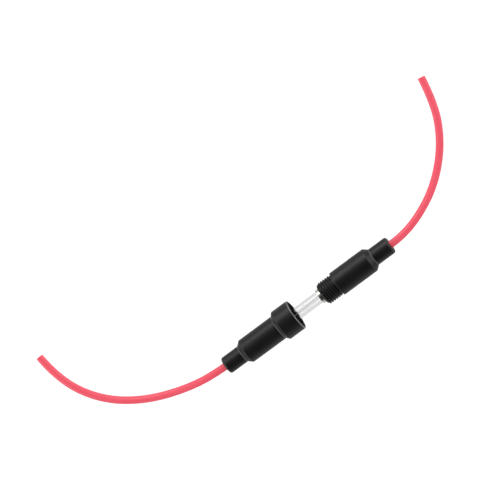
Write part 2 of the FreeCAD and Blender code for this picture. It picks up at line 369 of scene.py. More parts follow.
@dataclass(frozen=True)
class RedInsulation:
    """Coral red extruded insulation, with faint lines drawn along the lead."""

    name: str = "coral_red_insulation"
    deep: Colour = (0.84, 0.076, 0.118)
    light: Colour = (0.90, 0.104, 0.154)
    cloud: float = 20 / 3 * MM
    roughness: Span = (0.33, 0.43)
    lines_round: float = 46.0
    line_length: float = 9.0 * MM
    line_depth: float = 0.010 * MM
    grain: float = 0.22 * MM
    grain_depth: float = 0.004 * MM

    def material(self) -> Material:
        """Build the finish.

        Returns:
            The new material.
        """
        sheet = FinishSheet(self.name)
        lines = sheet.noise((1 / self.lines_round, self.line_length, 1.0), source="UV")
        sheet.set(
            Base_Color=sheet.blend(sheet.noise(self.cloud, detail=3.0), self.deep, self.light),
            Roughness=lines.remap(NOISE_SPAN, self.roughness),
            IOR=1.5,
            Subsurface_Weight=0.12,
            Subsurface_Radius=(1.0, 0.25, 0.2),
            Subsurface_Scale=0.6 * MM,
        )
        sheet.relief((lines, self.line_depth), (sheet.noise(self.grain), self.grain_depth))
        return sheet.material


@dataclass(frozen=True)
class Metal:
    """A metal surface with marks that run round the holder's axis and a little tarnish."""

    name: str
    clean: Colour
    tarnished: Colour
    roughness: Span
    mark_spacing: float
    mark_depth: float
    mark_stretch: float = 25.0
    cloud: float = 2.0 * MM
    cloud_roughness: float = 0.6
    tarnish_span: Span = (0.35, 0.75)

    def marks(self, sheet: FinishSheet) -> Signal:
        """Give the height of the marks that making the piece has left."""
        round_axis = self.mark_spacing * self.mark_stretch
        return sheet.noise((self.mark_spacing, round_axis, round_axis))

    def material(self) -> Material:
        """Build the finish.

        Returns:
            The new material.
        """
        sheet = FinishSheet(self.name)
        cloud = sheet.noise(self.cloud, detail=4.0, roughness=self.cloud_roughness)
        sheet.set(
            Base_Color=sheet.blend(cloud.remap(self.tarnish_span, (0.0, 1.0)), self.clean, self.tarnished),
            Metallic=1.0,
            Roughness=cloud.remap(NOISE_SPAN, self.roughness),
        )
        sheet.relief((self.marks(sheet), self.mark_depth))
        return sheet.material


@dataclass(frozen=True)
class TurnedMetal(Metal):
    """Metal with the rings that a lathe leaves about the holder's axis."""

    cloud: float = 10 / 9 * MM
    cloud_roughness: float = 0.5
    tarnish_span: Span = (0.4, 0.8)

    def marks(self, sheet: FinishSheet) -> Signal:
        """Give the height of the rings, a sine of the distance from the axis.

        Args:
            sheet: The finish's sheet.

        Returns:
            The height, from -1 to 1.
        """
        ends = {0: sheet.scaled((0, 1, 1)), 1: (0, 0, AXIS_HEIGHT)}
        distance = sheet.out("ShaderNodeVectorMath", ends, "Value", operation="DISTANCE")
        return (distance * (math.tau / self.mark_spacing)).math("SINE")


@dataclass(frozen=True)
class ClearGlass:
    """Clear drawn tube glass with faint lengthwise waves."""

    name: str = "clear_fuse_glass"
    tint: Colour = (0.98, 0.98, 0.98)
    wave_along: float = 70 * MM
    wave_across: float = 4.0 * MM
    wave_depth: float = 0.0004 * MM

    def material(self) -> Material:
        """Build the finish.

        Returns:
            The new material.
        """
        sheet = FinishSheet(self.name)
        sheet.set(Base_Color=(*self.tint, 1), Roughness=0.05, IOR=1.51, Transmission_Weight=1.0)
        waves = sheet.noise((self.wave_along, self.wave_across, self.wave_across), detail=1.0)
        sheet.relief((waves, self.wave_depth))
        return sheet.material


# A metal's name, clean and tarnished colour, range of roughness, and the spacing and depth of its marks
FINISHES = {
    Slot.BLACK_MOULDING: BlackMoulding(),
    Slot.RED_INSULATION: RedInsulation(),
    Slot.CLEAR_GLASS: ClearGlass(),
    Slot.COPPER: Metal(
        "bare_copper_strand", (0.93, 0.50, 0.33), (0.72, 0.33, 0.20), (0.22, 0.38), 0.5 * MM, 0.002 * MM
    ),
    Slot.NICKEL_PLATE: Metal(
        "bright_nickel_plate", (0.80, 0.77, 0.71), (0.72, 0.68, 0.60), (0.10, 0.20), 0.09 * MM, 0.0022 * MM
    ),
    Slot.PLATED_CONTACT: TurnedMetal(
        "turned_plated_contact", (0.79, 0.76, 0.69), (0.70, 0.63, 0.50), (0.16, 0.28), 0.11 * MM, 0.004 * MM
    ),
    Slot.SOLDER: Metal(
        "dull_tin_solder", (0.66, 0.67, 0.68), (0.50, 0.50, 0.51), (0.28, 0.48), 0.8 * MM, 0.03 * MM
    ),
    Slot.SPRING_STEEL: Metal(
        "drawn_spring_wire", (0.56, 0.57, 0.58), (0.44, 0.44, 0.45), (0.24, 0.36), 0.15 * MM, 0.003 * MM
    ),
    Slot.FUSE_WIRE: Metal(
        "tinned_fuse_wire", (0.60, 0.60, 0.59), (0.47, 0.46, 0.44), (0.25, 0.36), 0.2 * MM, 0.002 * MM
    ),
}


class Finishing:
    """Builds every finish once, and gives them to new pieces and to construction nodes."""

    def __init__(self) -> None:
        """Build the materials, by the record's slot that each stands for."""
        self.bore = BlackMoulding("dull_black_bore", roughness=(0.6, 0.7), ior=1.22).material()
        self.materials = {slot: finish.material() for slot, finish in FINISHES.items()}

    def dress(self, slot: Slot, *nodes: str) -> None:
        """Give construction nodes the finish of a slot.

        Args:
            slot: The slot.
            *nodes: The nodes' names.
        """
        for node in nodes:
            mesh = frame["nodes"][node].data
            mesh.materials.clear()
            mesh.materials.append(self.materials[slot])
            log.info("node %s is finished as %s", node, slot.value)

    def add_piece(self, mesh: Mesh, body: Body, slot: Slot, node: str) -> Object:
        """Add a piece at the origin, which rides on a body and stands for a construction node.

        Args:
            mesh: Its mesh, in place, which also gives its name.
            body: The body that it rides on.
            slot: The slot that it takes its finish from.
            node: The node that it replaces.

        Returns:
            The new object.
        """
        mesh.materials.clear()
        mesh.materials.append(self.materials[slot])
        piece = linked(mesh.name, mesh)
        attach(piece, body.value)
        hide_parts(node)
        log.info("piece %s rides on %s and stands for %s", piece.name, body.value, node)
        return piece

    def line_bore(self, mesh: Mesh) -> None:
        """Give the faces of a moulding that look towards the holder's axis the bore's duller finish.

        Args:
            mesh: The moulding's mesh, which already has its outside finish.
        """
        mesh.materials.append(self.bore)
        for face in mesh.polygons:
            outward = Vector((0.0, face.center.y, face.center.z - AXIS_HEIGHT)).normalized()
            if face.normal.dot(outward) < -INWARD_LEAN:
                face.material_index = 1


def linked(name: str, data: ID) -> Object:
    """Put data into the scene as an object at the origin.

    Args:
        name: The object's name.
        data: Its mesh, curve, camera or lamp.

    Returns:
        The new object.
    """
    made = bpy.data.objects.new(name, data)
    bpy.context.scene.collection.objects.link(made)
    return made


@dataclass(frozen=True)
class Corner:
    """One corner of an outline: its place along and out from the axis, its rounding and its share of painted
    highlight.
    """

    along: float
    out: float
    rounding: float = 0.0
    pale: float = 0.0

    def place(self) -> Vector:
        """Give the corner's place in the outline's plane."""
        return Vector((self.along, self.out))

    def arc(self, before: "Corner", after: "Corner") -> list[Vector]:
        """Round the corner.

        Args:
            before: The corner before this one.
            after: The corner after it.

        Returns:
            The points of the arc, or the corner alone where it isn't rounded.
        """
        here = self.place()
        if self.rounding <= 0:
            return [here]
        back = (before.place() - here).normalized()
        ahead = (after.place() - here).normalized()
        half_angle = back.angle(ahead) / 2
        setback = self.rounding / math.tan(half_angle)
        centre = here + (back + ahead).normalized() * self.rounding / math.sin(half_angle)
        start, end = here + back * setback - centre, here + ahead * setback - centre
        turn = start.angle_signed(end)
        steps = max(2, math.ceil((math.pi - 2 * half_angle) / ARC_STEP))
        return [centre + Matrix.Rotation(-turn * step / steps, 2) @ start for step in range(steps + 1)]


def rounded(corners: Sequence[Corner]) -> Outline:
    """Round an open outline's corners, with support points beside both ends of its long straight runs.

    Args:
        corners: The outline's corners in order. The first and the last have no rounding.

    Returns:
        The outline's points, as distances along and out from the axis, and share of painted highlight.
    """
    points: Outline = []
    for index, corner in enumerate(corners):
        arc = corner.arc(corners[index - 1], corners[(index + 1) % len(corners)])
        if points:
            last = Vector(points[-1][:2])
            run = arc[0] - last
            if run.length > 4 * SUPPORT_DISTANCE:
                inset = run.normalized() * SUPPORT_DISTANCE
                points += [(*(last + inset), 0.0), (*(arc[0] - inset), 0.0)]
        points += [(*point, corner.pale) for point in arc]
    return points


def axis_ring(along: float, out: float, angles: np.ndarray) -> np.ndarray:
    """Give a ring of points about the holder's axis.

    Args:
        along: The ring's station along X.
        out: Its radius.
        angles: Angles about +X, counted from straight down.

    Returns:
        One row of coordinates for each angle.
    """
    heights = AXIS_HEIGHT - out * np.cos(angles)
    return np.stack([np.full(len(angles), along), out * np.sin(angles), heights], axis=-1)


class LeadSpine:
    """A lead's centreline with a frame that never twists."""

    def __init__(self, points: np.ndarray) -> None:
        """Carry a frame along the points.

        Args:
            points: The centreline's points, one row each.
        """
        steps = np.diff(points, axis=0)
        self.along = np.concatenate([[0.0], np.cumsum(np.linalg.norm(steps, axis=1))])
        tangents = np.vstack([steps[:1], (steps[:-1] + steps[1:]) / 2, steps[-1:]])
        tangents /= np.linalg.norm(tangents, axis=1)[:, None]
        normal = np.array([0.0, 0.0, -1.0])
        normals = []
        for tangent in tangents:
            normal = normal - tangent * normal.dot(tangent)
            normal = normal / np.linalg.norm(normal)
            normals.append(normal)
        self.table = np.hstack([points, normals, np.cross(tangents, normals)])

    @property
    def length(self) -> float:
        """The centreline's length."""
        return float(self.along[-1])

    def ring(self, along: float, out: float, angles: np.ndarray) -> np.ndarray:
        """Give a ring of points about the centreline.

        Args:
            along: The ring's distance from the lead's start.
            out: Its radius.
            angles: Angles about the direction of travel, counted from the frame's normal.

        Returns:
            One row of coordinates for each angle.
        """
        here = np.array([np.interp(along, self.along, column) for column in self.table.T])
        centre, normal, side = here.reshape(3, 3)
        return centre + out * (np.cos(angles)[:, None] * normal + np.sin(angles)[:, None] * side)


def swept_mesh(
    name: str,
    ring_at: RingMaker,
    outline: Outline,
    segments: int,
    closed: bool,
    joined: Mesh | None = None,
) -> Mesh:
    """Carry an outline round an axis or a centreline.

    Args:
        name: The mesh's name.
        ring_at: What gives the points of a ring.
        outline: Distances along and out, and share of painted highlight.
        segments: How many steps a full turn has.
        closed: Whether the outline's last point joins its first.
        joined: A mesh whose open edges lie on the outline's two ends, welded to them.

    Returns:
        The mesh, with the outline's painted highlight as a point attribute and a UV map of turn and distance
        along.
    """
    angles = np.arange(segments) * (math.tau / segments)
    surface = bmesh.new()
    uv_layer = surface.loops.layers.uv.new("UVMap")
    highlight_layer = surface.verts.layers.float.new(PAINTED_HIGHLIGHT)
    rings = []
    for along, out, pale in outline:
        rings.append([surface.verts.new(point) for point in ring_at(along, out, angles)])
        for corner in rings[-1]:
            corner[highlight_layer] = pale
    for low in range(len(outline) if closed else len(outline) - 1):
        high = (low + 1) % len(outline)
        stations = (outline[low][0], outline[low][0], outline[high][0], outline[high][0])
        for step in range(segments):
            after = (step + 1) % segments
            face = surface.faces.new(
                (rings[low][step], rings[low][after], rings[high][after], rings[high][step])
            )
            for loop, turn, station in zip(face.loops, (step, step + 1, step + 1, step), stations):
                loop[uv_layer].uv = (turn / segments, station)
    if joined is not None:
        surface.from_mesh(joined)
    return closed_mesh(name, surface)


def closed_mesh(name: str, surface: bmesh.types.BMesh) -> Mesh:
    """Weld a surface's seams, point its faces outwards and shade it.

    Args:
        name: The mesh's name.
        surface: The surface, which is freed.

    Returns:
        The new mesh.
    """
    bmesh.ops.remove_doubles(surface, verts=surface.verts, dist=MERGE_DISTANCE)
    bmesh.ops.dissolve_degenerate(surface, edges=surface.edges, dist=MERGE_DISTANCE / 10)
    bmesh.ops.recalc_face_normals(surface, faces=surface.faces)
    if surface.calc_volume(signed=True) < 0:
        bmesh.ops.reverse_faces(surface, faces=surface.faces)
    open_edges = sum(1 for edge in surface.edges if not edge.is_manifold)
    mesh = bpy.data.meshes.new(name)
    surface.to_mesh(mesh)
    surface.free()
    log.info("%s: %d faces, %d open edges", name, len(mesh.polygons), open_edges)
    shade(mesh)
    return mesh


def shade(mesh: Mesh) -> None:
    """Shade a mesh smoothly between its sharp edges."""
    mesh.polygons.foreach_set("use_smooth", [True] * len(mesh.polygons))
    mesh.set_sharp_from_angle(angle=SHARP_ANGLE)


def evaluated_mesh(carrier: Object) -> Mesh:
    """Take an object's evaluated shape as a plain mesh, and remove the object.

    Args:
        carrier: The object, in the scene and with its modifiers set.

    Returns:
        The mesh, free of any modifier.
    """
    depsgraph = bpy.context.evaluated_depsgraph_get()
    mesh = bpy.data.meshes.new_from_object(carrier.evaluated_get(depsgraph))
    carrier.modifiers.clear()
    bpy.data.objects.remove(carrier)
    return mesh


class MeshTree(NodeSheet):
    """A Geometry Nodes tree with a named input for each size, run once."""

    KINDS: ClassVar[dict[type, str]] = {float: "NodeSocketFloat", int: "NodeSocketInt"}

    def __init__(self, name: str, sizes: dict[str, float | int]) -> None:
        """Start the tree with its inputs.

        Args:
            name: The tree's name.
            sizes: The value of each input, by name.
        """
        tree = bpy.data.node_groups.new(name, "GeometryNodeTree")
        kinds = {key: self.KINDS[type(value)] for key, value in sizes.items()}
        for key, kind in {"start": "NodeSocketGeometry", **kinds, "finish": "NodeSocketMaterial"}.items():
            tree.interface.new_socket(key, in_out="INPUT", socket_type=kind)
        tree.interface.new_socket("result", in_out="OUTPUT", socket_type="NodeSocketGeometry")
        super().__init__(tree)
        self.sizes = sizes
        sockets = self.add("NodeGroupInput").outputs
        given = {socket.name: Signal(self, socket) for socket in sockets if socket.name}
        self.given = SimpleNamespace(**given)

    def position(self) -> tuple[Signal, Signal, Signal]:
        """Give each point's X, Y and Z."""
        parts = self.add("ShaderNodeSeparateXYZ", {0: self.out("GeometryNodeInputPosition")}).outputs
        return Signal(self, parts[0]), Signal(self, parts[1]), Signal(self, parts[2])

    def moved(self, geometry: Signal, x: Signal, y: Signal, z: Signal) -> Signal:
        """Move a geometry's points to new places."""
        place = self.out("ShaderNodeCombineXYZ", {"X": x, "Y": y, "Z": z})
        return self.out("GeometryNodeSetPosition", {"Geometry": geometry, "Position": place})

    def rolled(self, geometry: Signal, x: Signal, radius: Signal, turn: Signal) -> Signal:
        """Move a geometry's points onto turns about the holder's axis.

        Args:
            geometry: The geometry.
            x: The station of each point.
            radius: Its distance from the axis.
            turn: How many turns it has made about +X, counted from straight down.

        Returns:
            The moved geometry.
        """
        angle = turn * math.tau
        height = AXIS_HEIGHT - radius * angle.math("COSINE")
        return self.moved(geometry, x, radius * angle.math("SINE"), height)

    def round_section(self, diameter: Signal) -> Signal:
        """Give the round section of a wire, with the number of sides in the tree's inputs."""
        sizes = {"Resolution": self.given.sides, "Radius": diameter * 0.5}
        return self.out("GeometryNodeCurvePrimitiveCircle", sizes)

    def wire(self, line: Signal, section: Signal) -> Signal:
        """Carry a section along a line and close its ends."""
        inputs = {"Curve": line, "Profile Curve": section, "Fill Caps": True}
        return self.out("GeometryNodeCurveToMesh", inputs)

    def run(
        self, name: str, geometry: Signal, finish: Material, start: Mesh | None = None
    ) -> Mesh:
        """End the tree in one realized and coloured geometry, and run it.

        Args:
            name: The name of the result.
            geometry: What the tree has made.
            finish: The material for it.
            start: The mesh that the tree starts from, where it needs one.

        Returns:
            The result as a plain mesh.
        """
        realized = self.out("GeometryNodeRealizeInstances", {"Geometry": geometry})
        inputs = {"Geometry": realized, "Material": self.given.finish}
        coloured = self.out("GeometryNodeSetMaterial", inputs)
        self.add("NodeGroupOutput", {"result": coloured})
        carrier = linked(name + "_carrier", start or bpy.data.meshes.new(name + "_start"))
        modifier = carrier.modifiers.new("tree", "NODES")
        modifier.node_group = self.tree
        values = {**self.sizes, "finish": finish}
        for socket in self.tree.interface.items_tree:
            if socket.name in values:
                modifier[socket.identifier] = values[socket.name]
        mesh = evaluated_mesh(carrier)
        mesh.name = name
        return mesh


@dataclass(frozen=True)
class ScrewThread:
    """The right-handed thread of one half: a ridge with sloping flanks that runs out at both ends."""

    root_radius: float
    outward: float
    ridge_x: float
    low_x: float
    high_x: float
    low_runout: float
    high_runout: float
    pitch: float = 1.06 * MM
    ridge_height: float = 0.5 * MM
    half_crest: float = 0.10 * MM
    half_foot: float = 0.44 * MM
    rows: int = 20

    def mesh(self, finish: Material) -> Mesh:
        """Roll a flat grid into the threaded surface, with each row of the grid along the helix.

        Args:
            finish: The material.

        Returns:
            A tube open at low_x and high_x, at the root radius there.
        """
        turns_back = math.ceil((self.ridge_x + self.pitch / 2 - self.low_x) / self.pitch)
        start_x = self.ridge_x - self.pitch / 2 - turns_back * self.pitch
        turns = math.ceil((self.high_x - start_x) / self.pitch)
        sizes = {**asdict(self), "start_x": start_x, "turns": turns, "segments": TURNED_SEGMENTS}
        del sizes["ridge_x"]
        tree = MeshTree("helical_thread", sizes)
        given = tree.given
        columns = {"Vertices X": given.rows + 1.0, "Vertices Y": given.turns * given.segments + 1.0}
        grid = tree.out("GeometryNodeMeshGrid", {"Size X": 1.0, "Size Y": given.turns, **columns})
        across, along, _ = tree.position()
        turn = along + given.turns * 0.5
        free_x = given.start_x + (across + 0.5 + turn) * given.pitch
        x = free_x.math("MINIMUM", given.high_x).math("MAXIMUM", given.low_x)
        off_ridge = across.math("ABSOLUTE") * given.pitch
        flank = off_ridge.remap((given.half_foot, given.half_crest), (0.0, 1.0), smooth=True)
        from_low = (x - given.low_x) / given.low_runout
        from_high = (given.high_x - x) / given.high_runout
        share = flank.math("MINIMUM", from_low.math("MINIMUM", from_high))
        height = share.math("MAXIMUM", 0.0) * given.ridge_height
        rolled = tree.rolled(grid, x, given.root_radius + height * given.outward, turn)
        welded = tree.out("GeometryNodeMergeByDistance", {"Geometry": rolled, "Distance": MERGE_DISTANCE})
        return tree.run("thread", welded, finish)


@dataclass
class ContactSpring:
    """The coil spring between the threaded body's contact and the floor of its cavity."""

    coil_radius: float = 2.35 * MM
    wire_diameter: float = 0.5 * MM
    turns: float = 8.0
    closed_turns: float = 1.0
    segments: int = 40
    sides: int = 12

    def mesh(self, low_x: float, high_x: float, finish: Material) -> Mesh:
        """Wind the wire along X, with closed and ground end turns.

        Args:
            low_x: Where the spring starts.
            high_x: Where it ends.
            finish: The material.

        Returns:
            The spring's mesh.
        """
        tree = MeshTree("coil_spring", {**asdict(self), "low_x": low_x, "high_x": high_x})
        given = tree.given
        stations = tree.out("GeometryNodeMeshLine", {"Count": given.turns * given.segments + 1.0})
        turn = tree.out("GeometryNodeInputIndex") / given.segments
        both_closed = given.closed_turns * 2.0
        open_turns = given.turns - both_closed
        open_length = given.high_x - given.low_x - both_closed * given.wire_diameter
        turned_open = (turn - given.closed_turns).math("MAXIMUM", 0.0).math("MINIMUM", open_turns)
        turned_closed = turn - turned_open
        advance = turned_open * (open_length / open_turns) + turned_closed * given.wire_diameter
        wound = tree.rolled(stations, given.low_x + advance, given.coil_radius, turn)
        line = tree.out("GeometryNodeMeshToCurve", {"Mesh": wound})
        wire = tree.wire(line, tree.round_section(given.wire_diameter))
        x, y, z = tree.position()
        ground_x = x.math("MAXIMUM", given.low_x).math("MINIMUM", given.high_x)
        mesh = tree.run("contact_coil", tree.moved(wire, ground_x, y, z), finish)
        shade(mesh)
        return mesh

    def build(self, finishing: Finishing) -> None:
        """Make the spring, which rides on the threaded body.

        Args:
            finishing: What adds the piece.
        """
        low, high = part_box("contact_spring")
        mesh = self.mesh(low.x, high.x, finishing.materials[Slot.SPRING_STEEL])
        coil = finishing.add_piece(mesh, Body.THREADED_BODY, Slot.SPRING_STEEL, "contact_spring")
        push = next(joint for joint in frame["joints"] if joint["name"] == "contact_push")
        kept_share = 1 - push["range_m"][1] / (high.x - low.x)
        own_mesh(coil)


@dataclass
class Lead:
    """One insulated lead with its stranded conductor. Its route's corner points are in millimetres."""

    name: str
    body: Body
    exit_x: float
    conductor_x: float
    route: Sequence[Place]
    length: float
    diameter: float = 3.0 * MM
    bore: float = 1.76 * MM
    cut_edge: float = 0.28 * MM
    conductor: float = 1.68 * MM
    lay_length: float = 22.0 * MM
    strands_across: int = 5
    strand_sides: int = 12
    resolution: int = 22

    def centreline(self) -> np.ndarray:
        """Read the points of the route's own smooth spline.

        Returns:
            One row of coordinates for each point, from the contact to the cut end.
        """
        curve = bpy.data.curves.new(self.name + "_route", "CURVE")
        curve.dimensions = "3D"
        curve.resolution_u = self.resolution
        spline = curve.splines.new("NURBS")
        spline.points.add(len(self.route) - 1)
        for point, place in zip(spline.points, self.route):
            point.co = (*(value * MM for value in place), 1.0)
        spline.order_u = 3
        spline.use_endpoint_u = True
        mesh = evaluated_mesh(linked(self.name + "_route", curve))
        points = np.array([vertex.co for vertex in mesh.vertices])
        bpy.data.curves.remove(curve)
        bpy.data.meshes.remove(mesh)
        return points

    def insulation_mesh(self, points: np.ndarray) -> Mesh:
        """Build the hollow insulation, with a slightly eased cut edge at each end.

        Args:
            points: The centreline's points.

        Returns:
            A tube with one ring at each of those points.
        """
        spine = LeadSpine(points)
        outer, inner, eased = self.diameter / 2, self.bore / 2, self.cut_edge * 2
        start_edge = rounded([Corner(0, inner), Corner(0, outer, self.cut_edge), Corner(eased, outer)])
        end_edge = [(spine.length - along, out, pale) for along, out, pale in reversed(start_edge)]
        between = [along for along in spine.along if eased < along < spine.length - eased]
        outside = [(along, outer, 0.0) for along in between]
        inside = [(along, inner, 0.0) for along in reversed(between)]
        outline = start_edge + outside + end_edge + inside
        return swept_mesh(self.name + "_jacket", spine.ring, outline, LEAD_SEGMENTS, closed=True)

    def strand_mesh(self, points: np.ndarray, finish: Material) -> Mesh:
        """Lay one core strand, six round it and twelve round those, twisted along the lead.

        Args:
            points: The centreline's points.
            finish: The material.

        Returns:
            The strands' mesh, from inside the contact's stem to the cut end.
        """
        line = [(self.conductor_x, 0.0, AXIS_HEIGHT), *(tuple(point) for point in points)]
        start = bpy.data.meshes.new(self.name + "_line")
        start.from_pydata(line, [(at, at + 1) for at in range(len(points))], [])
        sizes = {
            "strand_diameter": self.conductor / self.strands_across,
            "lay_length": self.lay_length,
            "sides": self.strand_sides,
        }
        tree = MeshTree("twisted_strands", sizes)
        given = tree.given
        curve = tree.out("GeometryNodeMeshToCurve", {"Mesh": given.start})
        twist = tree.out("GeometryNodeSplineParameter", output="Length") / given.lay_length * math.tau
        twisted = tree.out("GeometryNodeSetCurveTilt", {"Curve": curve, "Tilt": twist})
        places = tree.add("GeometryNodeJoinGeometry")
        tree.feed(places.inputs["Geometry"], tree.out("GeometryNodeMeshLine", {"Count": 1}))
        for layer in (1, 2):
            ring = {"Vertices": 6 * layer, "Radius": given.strand_diameter * float(layer)}
            tree.feed(places.inputs["Geometry"], tree.out("GeometryNodeMeshCircle", ring))
        section = tree.round_section(given.strand_diameter)
        copies = {"Points": Signal(tree, places.outputs[0]), "Instance": section}
        sections = {"Geometry": tree.out("GeometryNodeInstanceOnPoints", copies)}
        wires = tree.wire(twisted, tree.out("GeometryNodeRealizeInstances", sections))
        mesh = tree.run(self.name + "_strands", wires, finish, start)
        shade(mesh)
        return mesh

    def build(self, finishing: Finishing) -> None:
        """Args:
            finishing: What adds the pieces.
        """
        points = self.centreline()
        wires, tube = self.strand_mesh(points, finishing.materials[Slot.COPPER]), self.insulation_mesh(points)
        strands = finishing.add_piece(wires, self.body, Slot.COPPER, self.name + "_conductor")
        insulation = finishing.add_piece(tube, self.body, Slot.RED_INSULATION, self.name + "_insulation")
        self.length


@dataclass(kw_only=True)
class MouldedHalf(ABC):
    """What both black halves share: the fuse's bore, the barrel, the neck and the lead's hole."""

    mouth_x: float
    end_x: float
    barrel_length: float
    shoulder_length: float
    cavity: float = 3.45 * MM
    barrel: float = 5.05 * MM
    neck: float = 3.55 * MM
    neck_bore: float = 1.65 * MM
    neck_chamfer: float = 0.25 * MM
    neck_edge: float = 0.8 * MM
    shoulder_edge: float = 0.35 * MM
    floor_edge: float = 0.15 * MM
    floor_past_barrel: float = 0.5 * MM
    thread_runout: float = 0.35 * MM
    piece_name: ClassVar[str]
    body: ClassVar[Body]
    node: ClassVar[str]

    @abstractmethod
    def corners(self) -> list[Corner]:
        """Give the outline from one end of the thread to the other, with the bore and the outside."""

    @abstractmethod
    def thread(self) -> ScrewThread:
        """Give the half's thread."""

    def end_corners(self, barrel_x: float) -> list[Corner]:
        """Give the neck's end of the outline, from the cavity's floor out and back to the shoulder.

        Args:
            barrel_x: Where the barrel starts.

        Returns:
            The corners in order.
        """
        way = math.copysign(1.0, self.end_x - self.mouth_x)
        shoulder_x = barrel_x + way * self.barrel_length
        neck_x = shoulder_x + way * self.shoulder_length
        floor_x = shoulder_x + way * self.floor_past_barrel
        return [
            Corner(floor_x, self.cavity, self.floor_edge),
            Corner(floor_x, self.neck_bore),
            Corner(self.end_x - way * self.neck_chamfer, self.neck_bore),
            Corner(self.end_x, self.neck_bore + self.neck_chamfer),
            # The neck's end and the shoulder's edge get a faint painted highlight, the inside corner at the
            # neck a stronger one
            Corner(self.end_x, self.neck, self.neck_edge, OUTSIDE_EDGE_HIGHLIGHT),
            Corner(neck_x, self.neck, self.shoulder_edge, INSIDE_CORNER_HIGHLIGHT),
            Corner(shoulder_x, self.barrel, self.shoulder_edge, OUTSIDE_EDGE_HIGHLIGHT),
        ]

    def build(self, finishing: Finishing) -> None:
        """Make the moulding, with its thread welded to both ends of its outline.

        Args:
            finishing: What adds the piece.
        """
        thread = self.thread().mesh(finishing.materials[Slot.BLACK_MOULDING])
        outline = rounded(self.corners())
        mesh = swept_mesh(self.piece_name, axis_ring, outline, TURNED_SEGMENTS, False, thread)
        finishing.add_piece(mesh, self.body, Slot.BLACK_MOULDING, self.node)
        finishing.line_bore(mesh)


@dataclass(kw_only=True)
class ThreadedBody(MouldedHalf):
    """The sprung half: mouth with an outside thread, barrel, shoulder and neck."""

    rim_radius: float = 3.79 * MM
    rim_edge: float = 0.12 * MM
    root_radius: float = 4.2 * MM
    chamfer_length: float = 0.8 * MM
    root_chamfer_length: float = 0.48 * MM
    thread_length: float = 7.0 * MM
    thread_relief: float = 0.55 * MM
    barrel_length: float = 15.5 * MM
    barrel_edge: float = 0.2 * MM
    shoulder_length: float = 1.9 * MM
    piece_name: ClassVar[str] = "threaded_body_moulding"
    body: ClassVar[Body] = Body.THREADED_BODY
    node: ClassVar[str] = "body_shell"

    def corners(self) -> list[Corner]:
        """Give the outline from the thread's start, through the bore and round the outside to its end.

        Returns:
            The corners in order.
        """
        barrel_x = self.mouth_x + self.thread_length
        return [
            Corner(self.mouth_x + self.root_chamfer_length, self.root_radius),
            # The mouth's rim gets half the painted highlight of the cap's rim
            Corner(self.mouth_x, self.rim_radius, self.rim_edge, RIM_HIGHLIGHT / 2),
            Corner(self.mouth_x, self.cavity, self.rim_edge),
            *self.end_corners(barrel_x),
            Corner(barrel_x, self.barrel, self.barrel_edge, OUTSIDE_EDGE_HIGHLIGHT),
            Corner(barrel_x, self.root_radius, self.floor_edge),
            Corner(barrel_x - self.thread_relief, self.root_radius),
        ]

    def thread(self) -> ScrewThread:
        """Give the outside thread, which runs out at the mouth's chamfer and at the barrel."""
        return ScrewThread(
            root_radius=self.root_radius,
            outward=1.0,
            ridge_x=self.mouth_x,
            low_x=self.mouth_x + self.root_chamfer_length,
            high_x=self.mouth_x + self.thread_length - self.thread_relief,
            low_runout=self.chamfer_length - self.root_chamfer_length,
            high_runout=self.thread_runout,
        )


@dataclass(kw_only=True)
class ScrewCap(MouldedHalf):
    """The screw cap: collar with an inside thread, taper, barrel, shoulder and neck."""

    ridge_x: float
    collar: float = 6.35 * MM
    collar_edge: float = 0.3 * MM
    lip_radius: float = 5.6 * MM
    lip_edge: float = 0.08 * MM
    root_radius: float = 4.85 * MM
    chamfer_length: float = 0.95 * MM
    thread_reach: float = 7.5 * MM
    guide_length: float = 0.6 * MM
    collar_length: float = 7.3 * MM
    taper_length: float = 1.1 * MM
    barrel_length: float = 15.6 * MM
    shoulder_length: float = 1.7 * MM
    piece_name: ClassVar[str] = "screw_cap_moulding"
    body: ClassVar[Body] = Body.SCREW_CAP
    node: ClassVar[str] = "cap_shell"

    def corners(self) -> list[Corner]:
        """Give the outline from the thread's mouth end, round the outside and back through the bore.

        Returns:
            The corners in order.
        """
        collar_x = self.mouth_x - self.collar_length
        barrel_x = collar_x - self.taper_length
        thread_end_x = self.mouth_x - self.thread_reach
        return [
            Corner(self.mouth_x - self.chamfer_length, self.root_radius),
            Corner(self.mouth_x, self.lip_radius, self.lip_edge),
            # The collar's rim at the mouth gets the full painted highlight, its back edge a faint one
            Corner(self.mouth_x, self.collar, self.collar_edge, RIM_HIGHLIGHT),
            Corner(collar_x, self.collar, self.collar_edge, OUTSIDE_EDGE_HIGHLIGHT),
            Corner(barrel_x, self.barrel, self.shoulder_edge, INSIDE_CORNER_HIGHLIGHT),
            *reversed(self.end_corners(barrel_x)),
            Corner(thread_end_x - self.guide_length, self.cavity),
            Corner(thread_end_x, self.root_radius),
        ]

    def thread(self) -> ScrewThread:
        """Give the inside thread, cut back by the mouth's chamfer."""
        return ScrewThread(
            root_radius=self.root_radius,
            outward=-1.0,
            ridge_x=self.ridge_x,
            low_x=self.mouth_x - self.thread_reach,
            high_x=self.mouth_x - self.chamfer_length,
            low_runout=self.thread_runout,
            high_runout=self.thread_runout,
        )


